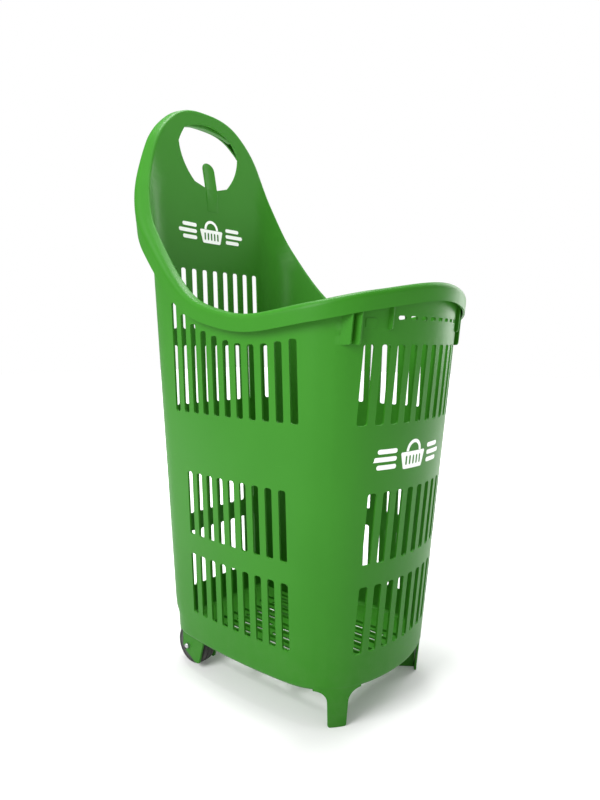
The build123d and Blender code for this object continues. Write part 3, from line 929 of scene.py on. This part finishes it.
# Mask of rubbed places: long thin scratches and broad scuffs, both broken up
def handlingGroup():
    tree = shaderGroup("handlingMarks",
                       [("Vector", "NodeSocketVector", None), ("Amount", "NodeSocketFloat", 1.0)],
                       [("Scuffs", "NodeSocketFloat"), ("Scratches", "NodeSocketFloat")])
    given, out = tree.nodes.new("NodeGroupInput"), tree.nodes.new("NodeGroupOutput")
    stretch = tree.nodes.new("ShaderNodeMapping")
    stretch.inputs["Scale"].default_value = (14.0, 14.0, 260.0)
    stretch.inputs["Rotation"].default_value = (0.35, 0.2, 0.0)
    tree.links.new(given.outputs["Vector"], stretch.inputs["Vector"])
    lines = noiseNode(tree, stretch.outputs[0], 1.0, 4.0, 0.7)
    thin = mapRange(tree, lines, 0.66, 0.74, 0.0, 1.0)
    broad = noiseNode(tree, given.outputs["Vector"], 9.0, 5.0, 0.62)
    patch = mapRange(tree, broad, 0.5, 0.72, 0.0, 1.0)
    scuffs = mathNode(tree, "MULTIPLY", patch, given.outputs["Amount"])
    scratches = mathNode(tree, "MULTIPLY", mathNode(tree, "MULTIPLY", thin, patch), given.outputs["Amount"])
    tree.links.new(scuffs, out.inputs["Scuffs"])
    tree.links.new(scratches, out.inputs["Scratches"])
    return tree


# Mask of dust that lies on upward faces and gathers low down
def dustGroup():
    tree = shaderGroup("dustFilm", [("Vector", "NodeSocketVector", None), ("Amount", "NodeSocketFloat", 0.3),
                                    ("Height", "NodeSocketFloat", 0.12)], [("Dust", "NodeSocketFloat")])
    given, out = tree.nodes.new("NodeGroupInput"), tree.nodes.new("NodeGroupOutput")
    geometry = tree.nodes.new("ShaderNodeNewGeometry")
    parts, place = tree.nodes.new("ShaderNodeSeparateXYZ"), tree.nodes.new("ShaderNodeSeparateXYZ")
    tree.links.new(geometry.outputs["Normal"], parts.inputs[0])
    tree.links.new(given.outputs["Vector"], place.inputs[0])
    up = mapRange(tree, parts.outputs["Z"], 0.55, 1.0, 0.0, 0.7)
    share = mathNode(tree, "DIVIDE", place.outputs["Z"], given.outputs["Height"])
    near = mathNode(tree, "SUBTRACT", 1.0, share)
    low = mapRange(tree, near, 0.0, 1.0, 0.0, 0.8)
    both = mathNode(tree, "MAXIMUM", up, low)
    speck = mapRange(tree, noiseNode(tree, given.outputs["Vector"], 60.0, 6.0, 0.65), 0.42, 0.7, 0.0, 1.0)
    dust = mathNode(tree, "MULTIPLY", mathNode(tree, "MULTIPLY", both, speck), given.outputs["Amount"])
    tree.links.new(dust, out.inputs["Dust"])
    return tree


mouldGrain, handlingMarks, dustFilm = mouldGrainGroup(), handlingGroup(), dustGroup()


def placed(tree, group, vector, **values):
    node = tree.nodes.new("ShaderNodeGroup")
    node.node_tree = group
    tree.links.new(vector, node.inputs["Vector"])
    for name, value in values.items():
        node.inputs[name].default_value = value
    return node


def mixColour(tree, factor, first, second):
    node = tree.nodes.new("ShaderNodeMix")
    node.data_type = "RGBA"
    tree.links.new(factor, node.inputs[0])
    for socket, value in ((node.inputs[6], first), (node.inputs[7], second)):
        if isinstance(value, tuple):
            socket.default_value = value
        else:
            tree.links.new(value, socket)
    return node.outputs[2]


def newMaterial(name):
    material = bpy.data.materials.new(name)
    material.use_nodes = True
    tree = material.node_tree
    vector = tree.nodes.new("ShaderNodeTexCoord").outputs["Object"]
    return material, tree, tree.nodes["Principled BSDF"], vector


def bumped(tree, shader, height, strength, distance):
    bump = tree.nodes.new("ShaderNodeBump")
    bump.inputs["Strength"].default_value = strength
    bump.inputs["Distance"].default_value = distance
    tree.links.new(height, bump.inputs["Height"])
    tree.links.new(bump.outputs[0], shader.inputs["Normal"])


# A worn moulded or rubber surface: two close tones, scuffs, scratches, dust and grain
def wornMaterial(name, look):
    material, tree, shader, vector = newMaterial(name)
    handling = placed(tree, handlingMarks, vector, Amount=look["wear"])
    dust = placed(tree, dustFilm, vector, Amount=look["dust"], Height=look["dustHeight"])
    grain = placed(tree, mouldGrain, vector, Scale=look["grain"], Waviness=look["waviness"])
    tone = mapRange(tree, noiseNode(tree, vector, look["toneScale"], 3.0), 0.3, 0.7, 0.0, 1.0)
    colour = mixColour(tree, tone, look["colour"], look["secondTone"])
    worn = mathNode(tree, "MULTIPLY", handling.outputs["Scratches"], 0.5)
    colour = mixColour(tree, worn, colour, look["rubbed"])
    colour = mixColour(tree, dust.outputs["Dust"], colour, look["dustColour"])
    tree.links.new(colour, shader.inputs["Base Color"])
    scuffed = mathNode(tree, "MULTIPLY", handling.outputs["Scuffs"], 0.1)
    rough = mathNode(tree, "ADD", look["roughness"], scuffed)
    rough = mathNode(tree, "ADD", rough, mathNode(tree, "MULTIPLY", dust.outputs["Dust"], 0.3))
    tree.links.new(rough, shader.inputs["Roughness"])
    dents = mathNode(tree, "MULTIPLY", handling.outputs["Scratches"], 0.6)
    bumped(tree, shader, mathNode(tree, "SUBTRACT", grain.outputs["Height"], dents), look["bump"], 0.0004)
    shader.inputs["Specular IOR Level"].default_value = look["specular"]
    return material


def metalMaterial(name, look):
    material, tree, shader, vector = newMaterial(name)
    stretch = tree.nodes.new("ShaderNodeMapping")
    stretch.inputs["Scale"].default_value = look["stretch"]
    tree.links.new(vector, stretch.inputs["Vector"])
    brushed = noiseNode(tree, stretch.outputs[0], 1.0, 5.0, 0.65)
    dust = placed(tree, dustFilm, vector, Amount=look["dust"], Height=0.1)
    colour = mixColour(tree, brushed, look["colour"], look["secondTone"])
    colour = mixColour(tree, dust.outputs["Dust"], colour, look["dustColour"])
    tree.links.new(colour, shader.inputs["Base Color"])
    shader.inputs["Metallic"].default_value = 1.0
    lines = mapRange(tree, brushed, 0.3, 0.7, look["roughness"], look["roughness"] + 0.14)
    rough = mathNode(tree, "ADD", lines, mathNode(tree, "MULTIPLY", dust.outputs["Dust"], 0.4))
    tree.links.new(rough, shader.inputs["Roughness"])
    bumped(tree, shader, brushed, 0.15, 0.0002)
    return material


greenLook = {
    "colour": (0.022, 0.15, 0.0065, 1), "secondTone": (0.025, 0.163, 0.008, 1),
    "rubbed": (0.1, 0.3, 0.06, 1), "dustColour": (0.16, 0.27, 0.12, 1), "wear": 0.35, "dust": 0.12,
    "dustHeight": 0.16, "grain": 1100.0, "waviness": 0.5, "toneScale": 6.0, "roughness": 0.42,
    "bump": 0.16, "specular": 0.16,
}
hubLook = {
    "colour": (0.018, 0.018, 0.019, 1), "secondTone": (0.026, 0.026, 0.027, 1),
    "rubbed": (0.09, 0.09, 0.09, 1), "dustColour": (0.22, 0.2, 0.18, 1), "wear": 0.8, "dust": 0.4,
    "dustHeight": 0.1, "grain": 1500.0, "waviness": 0.4, "toneScale": 40.0, "roughness": 0.45,
    "bump": 0.3, "specular": 0.5,
}
tyreLook = {
    "colour": (0.014, 0.014, 0.015, 1), "secondTone": (0.022, 0.021, 0.021, 1),
    "rubbed": (0.05, 0.048, 0.045, 1), "dustColour": (0.2, 0.185, 0.165, 1), "wear": 1.0, "dust": 0.5,
    "dustHeight": 0.08, "grain": 700.0, "waviness": 0.8, "toneScale": 70.0, "roughness": 0.62,
    "bump": 0.6, "specular": 0.4,
}
bushLook = {
    "colour": (0.62, 0.6, 0.54, 1), "secondTone": (0.7, 0.68, 0.62, 1), "rubbed": (0.3, 0.29, 0.27, 1),
    "dustColour": (0.3, 0.27, 0.24, 1), "wear": 0.8, "dust": 0.4, "dustHeight": 0.1, "grain": 1500.0,
    "waviness": 0.4, "toneScale": 90.0, "roughness": 0.35, "bump": 0.2, "specular": 0.5,
}
printLook = {
    "colour": (0.86, 0.88, 0.85, 1), "secondTone": (0.8, 0.83, 0.79, 1), "rubbed": (0.45, 0.62, 0.38, 1),
    "dustColour": (0.6, 0.6, 0.55, 1), "wear": 0.6, "dust": 0.1, "dustHeight": 0.1, "grain": 1600.0,
    "waviness": 0.3, "toneScale": 50.0, "roughness": 0.45, "bump": 0.15, "specular": 0.4,
}
axleLook = {
    "colour": (0.62, 0.63, 0.65, 1), "secondTone": (0.45, 0.46, 0.48, 1),
    "dustColour": (0.25, 0.2, 0.15, 1), "dust": 0.35, "stretch": (18.0, 900.0, 900.0), "roughness": 0.26,
}
springLook = {
    "colour": (0.4, 0.4, 0.42, 1), "secondTone": (0.25, 0.25, 0.27, 1),
    "dustColour": (0.25, 0.2, 0.15, 1), "dust": 0.4, "stretch": (200.0, 300.0, 300.0), "roughness": 0.34,
}

greenPlastic = wornMaterial("greenPlastic", greenLook)
blackNylon = wornMaterial("blackNylon", hubLook)
tyreRubber = wornMaterial("tyreRubber", tyreLook)
paleAcetal = wornMaterial("paleAcetal", bushLook)
whiteInk = wornMaterial("whiteInk", printLook)
zincSteel = metalMaterial("zincSteel", axleLook)
springSteel = metalMaterial("springSteel", springLook)


def dressed(obj, material, body, slot, *nodes):
    obj.data.materials.clear()
    obj.data.materials.append(material)
    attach(obj, body)
    if nodes:
        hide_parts(*nodes)
    return obj


basket = buildBasket()
dressed(basket, greenPlastic, "basket", "basket_plastic", "basket_body")
print("basket built")

floorRibs = grown("floorRibs", barRowTree(greenPlastic), {
    "Count": floor["ribCount"], "Pitch": floor["slotPitch"] * mm, "Length": floor["ribLength"] * mm,
    "Width": floor["ribWidth"] * mm, "Height": floor["ribHeight"] * mm,
    "Level": (wall["floorTop"] + floor["ribMiddle"]) * mm}, greenPlastic)
cleaned(floorRibs)
bevelled(floorRibs, 0.6, 2)
dressed(smoothed(floorRibs), greenPlastic, "basket", "basket_plastic")
print("floor ribs built")


# Plain printed sign, a shopping basket between bars, in millimetres round its middle
sign = {
    "basket": [(-19, -17, 3), (19, -17, 3), (25, 5, 2), (-25, 5, 2)],
    "gaps": (-14, -7, 0, 7, 14), "gapHalf": 1.7, "gapLow": -12, "gapHigh": 0,
    "handleLevel": 5.5, "handleOuter": 15.0, "handleInner": 10.6,
    "bars": ((9, 30), (-1, 38), (-11, 30)), "barNear": 32, "barHalf": 3,  # level, length
    "scale": 1.05, "spacing": 4.0, "back": (-6, 713), "front": (-24, 374), "sunk": 0.4, "proud": 0.25,
}


def signShapes():
    gaps = [roundedBox(x - sign["gapHalf"], x + sign["gapHalf"], sign["gapLow"], sign["gapHigh"], 1.6, 3, 8)
            for x in sign["gaps"]]
    middle = (0, sign["handleLevel"])
    arch = arcPoints(middle, sign["handleOuter"], 0, 180, 18)
    arch += arcPoints(middle, sign["handleInner"], 180, 0, 18)
    shapes = [(roundedLoop(sign["basket"], 4, 8), gaps), (arch, [])]
    for side in (-1, 1):
        for level, length in sign["bars"]:
            near, far = side * sign["barNear"], side * (sign["barNear"] + length)
            shapes.append((roundedBox(min(near, far), max(near, far), level - sign["barHalf"],
                                      level + sign["barHalf"], 2.9, 4, 8), []))
    return shapes


def printedSign(name, face, gapIn, gapOut):
    across, up = sign[face]
    pieces = []
    for outline, holes in signShapes():
        def moved(loop):
            return [(across + x * sign["scale"], up + z * sign["scale"]) for x, z in loop]
        pieces.append(wallPatch(name, face, moved(outline), gapIn, gapOut, [moved(h) for h in holes],
                                sign["spacing"]))
    bm = bmesh.new()
    for piece in pieces:
        bm.from_mesh(piece.data)
        bpy.data.objects.remove(piece)
    printed = newObject(name, [], [])
    bm.to_mesh(printed.data)
    bm.free()
    return cleaned(printed, 0.001)


innerSkin = -wall["thickness"]
for printed in (printedSign("backSign", "back", innerSkin - sign["proud"], innerSkin + sign["sunk"]),
                printedSign("frontSign", "front", -sign["sunk"], sign["proud"])):
    dressed(smoothed(printed), whiteInk, "basket", "basket_plastic")
print("signs printed")


# Turned ring about the wheel's axis: section points are (x from the wheel's middle, radius)
def turned(name, side, section, steps=96):
    points, polygons = [], []
    count = len(section)
    for k in range(steps):
        turn = 2 * pi * k / steps
        for along, radius in section:
            points.append((side * wheel["x"] + along, wheel["y"] + radius * cos(turn),
                           wheel["z"] + radius * sin(turn)))
    for k in range(steps):
        for i in range(count):
            a, b = k * count + i, k * count + (i + 1) % count
            c, d = (b + count) % (count * steps), (a + count) % (count * steps)
            polygons.append((a, b, c, d))
    return cleaned(newObject(name, points, polygons))


tyre = {
    "thickness": 7.0, "shoulder": 3.5, "shoulderDrop": 3.9, "shoulderSweep": 80,
    "groove": [(5.2, 0.12), (5.0, 0.9), (3.9, 0.9), (3.7, 0.05)],  # from the middle, from the tread
    "bead": [(0.4, 0.0), (0.0, 0.5), (0.0, 1.4), (0.5, 1.9)],  # from the side, from the bore
}


def tyreSection():
    radius, half = wheel["radius"], wheel["width"] / 2
    bore = radius - tyre["thickness"]
    outer = [(half - inward, bore + rise) for inward, rise in tyre["bead"]]
    outer += arcPoints((half - tyre["shoulder"], radius - tyre["shoulderDrop"]), tyre["shoulder"], 0,
                       tyre["shoulderSweep"], 6)
    outer += [(x, radius - drop) for x, drop in tyre["groove"]]
    return outer + [(-x, r) for x, r in reversed(outer)]


for side, label in ((-1, "left"), (1, "right")):
    ring = turned("tyre_" + label, side, tyreSection())
    dressed(smoothed(ring, 50), tyreRubber, "wheel_" + label, "tyre_rubber", "wheel_tyre_" + label)
print("tyres built")


def nodeFinish(name, material, width):
    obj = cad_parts[name]
    weld = obj.modifiers.new("weld", "WELD")
    weld.merge_threshold = 0.01 * mm
    bevel = obj.modifiers.new("softEdges", "BEVEL")
    bevel.width = width * mm
    bevel.segments = 2
    bevel.limit_method = "ANGLE"
    bevel.angle_limit = radians(40)
    bevel.harden_normals = True
    obj.data.materials.clear()
    obj.data.materials.append(material)


nodeFinish("handle_grip", greenPlastic, 0.6)
nodeFinish("axle_rod", zincSteel, 0.2)
for label in ("left", "right"):
    nodeFinish("wheel_hub_" + label, blackNylon, 0.5)
    nodeFinish("wheel_bush_" + label, paleAcetal, 0.2)
    for place in ("inner", "outer"):
        nodeFinish("axle_retainer_" + place + "_" + label, springSteel, 0.15)
print("carried nodes finished")


# Camera at the viewing angle, from its bearing, tilt and roll
view = {"bearing": -50.0862, "tilt": 5.2284, "roll": 0.3076, "aside": -4.6571, "height": 432.64,
        "distance": 993.646, "shiftY": 6.0, "lens": 28.125, "sensor": 36.0}


def makeCamera():
    az, el, roll = (radians(view[k]) for k in ("bearing", "tilt", "roll"))
    back = Vector((sin(az) * cos(el), -cos(az) * cos(el), sin(el)))
    right = Vector((cos(az), sin(az), 0))
    up = back.cross(right)
    axisX = right * cos(roll) + up * sin(roll)
    axisY = -right * sin(roll) + up * cos(roll)
    target = Vector((0, view["shiftY"], view["height"])) + right * view["aside"]
    data = bpy.data.cameras.new("camera")
    data.lens, data.sensor_width = view["lens"], view["sensor"]
    data.clip_start, data.clip_end = 0.01, 100
    camera = bpy.data.objects.new("camera", data)
    bpy.context.scene.collection.objects.link(camera)
    turn = Matrix((axisX, axisY, back)).transposed().to_4x4()
    camera.matrix_world = Matrix.Translation((target + back * view["distance"]) * mm) @ turn
    bpy.context.scene.camera = camera


makeCamera()

# Pale floor, white surroundings and soft studio lights
studio = {"sky": 0.5, "floorTone": 0.78, "floorGlow": 0.1, "fadeFrom": 0.45, "fadeTo": 1.6, "reach": 9000.0}
lights = [
    ("keyLeft", (-2.0, 0.2, 1.5), (1.2, 1.2), 54),
    ("fillFront", (0.2, -2.4, 1.1), (1.4, 1.4), 2),
    ("rimRight", (2.0, -0.4, 1.2), (0.8, 1.8), 26),
    ("overhead", (0.1, 0.2, 2.3), (1.0, 1.0), 52),
]


def makeStudio():
    far = studio["reach"]
    ground = newObject("studioFloor", [(-far, -far, 0), (far, -far, 0), (far, far, 0), (-far, far, 0)],
                       [(0, 1, 2, 3)])
    material, floorTree, shader, vector = newMaterial("studioWhite")
    shader.inputs["Base Color"].default_value = (*[studio["floorTone"]] * 3, 1)
    shader.inputs["Roughness"].default_value = 0.9
    shader.inputs["Specular IOR Level"].default_value = 0.1
    shader.inputs["Emission Color"].default_value = (1, 1, 1, 1)
    # the floor fades to plain white away from the object
    away = floorTree.nodes.new("ShaderNodeVectorMath")
    away.operation = "LENGTH"
    floorTree.links.new(vector, away.inputs[0])
    glow = mapRange(floorTree, away.outputs["Value"], studio["fadeFrom"], studio["fadeTo"],
                    studio["floorGlow"], 1.0)
    floorTree.links.new(glow, shader.inputs["Emission Strength"])
    ground.data.materials.append(material)
    world = bpy.data.worlds.new("studioWorld")
    bpy.context.scene.world = world
    world.use_nodes = True
    tree = world.node_tree
    # the sky is seen white and lights the object less than it looks
    camera = tree.nodes.new("ShaderNodeLightPath").outputs["Is Camera Ray"]
    seen = mapRange(tree, camera, 0, 1, studio["sky"], 1.0)
    tree.links.new(seen, tree.nodes["Background"].inputs["Strength"])
    tree.nodes["Background"].inputs["Color"].default_value = (1, 1, 1, 1)
    for name, place, size, power in lights:
        data = bpy.data.lights.new(name, "AREA")
        data.shape = "RECTANGLE"
        data.size, data.size_y = size
        data.energy = power
        lamp = bpy.data.objects.new(name, data)
        bpy.context.scene.collection.objects.link(lamp)
        lamp.location = place
        aim = Vector((0, 0, 0.45)) - Vector(place)
        lamp.rotation_mode = "QUATERNION"
        lamp.rotation_quaternion = aim.to_track_quat("-Z", "Y")
    bpy.context.scene.view_settings.view_transform = "Standard"


makeStudio()
print("studio ready")
